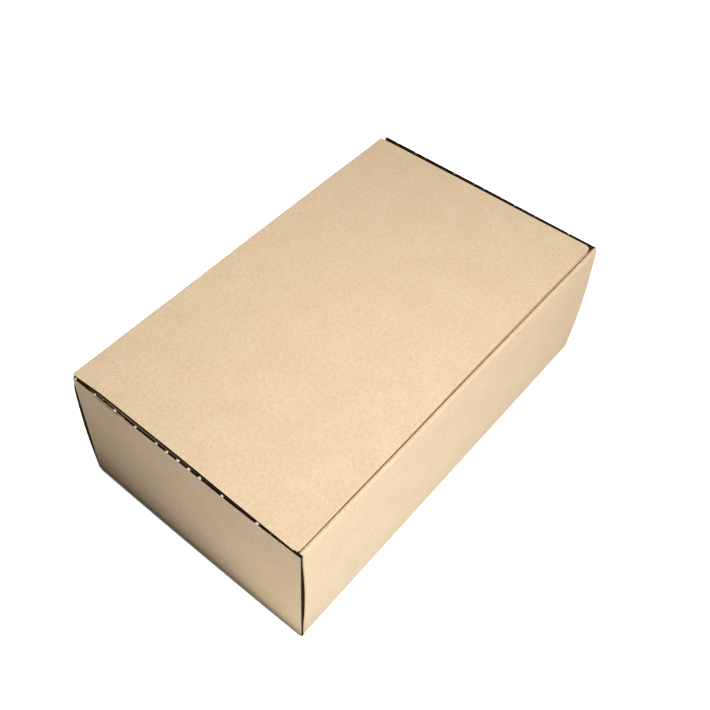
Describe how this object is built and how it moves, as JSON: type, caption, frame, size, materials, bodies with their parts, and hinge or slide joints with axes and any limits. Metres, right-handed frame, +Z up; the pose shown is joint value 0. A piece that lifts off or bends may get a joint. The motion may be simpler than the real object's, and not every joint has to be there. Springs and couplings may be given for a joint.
{
  "type": "eyelash box",
  "caption": "Plain kraft mailer box of thin corrugated board with rolled front and side walls, a hinged lid and a tuck flap.",
  "frame": {"origin": "middle of the base's underside, on the surface that the box stands on", "axes": "+X along the long side, -Y towards the rolled front wall, +Y towards the lid's hinge, +Z up through the lid"},
  "size_m": [0.3, 0.182, 0.101],
  "materials": {
    "kraft_board": "matt brown kraft liner with fine fibres"
  },
  "bodies": {
    "tray": {"tray": "kraft_board"},
    "lid": {"lid": "kraft_board"},
    "tuck_flap": {"tuck_flap": "kraft_board"}
  },
  "joints": [
    {"name": "lid_hinge", "type": "hinge", "parent": "tray", "child": "lid", "pos_m": [0, 0.09025, 0.10025], "axis": [-1, 0, 0], "range_deg": [0, 180]},
    {"name": "flap_fold", "type": "hinge", "parent": "lid", "child": "tuck_flap", "pos_m": [0, -0.0856, 0.09935], "axis": [1, 0, 0], "range_deg": [0, 80]}
  ]
}
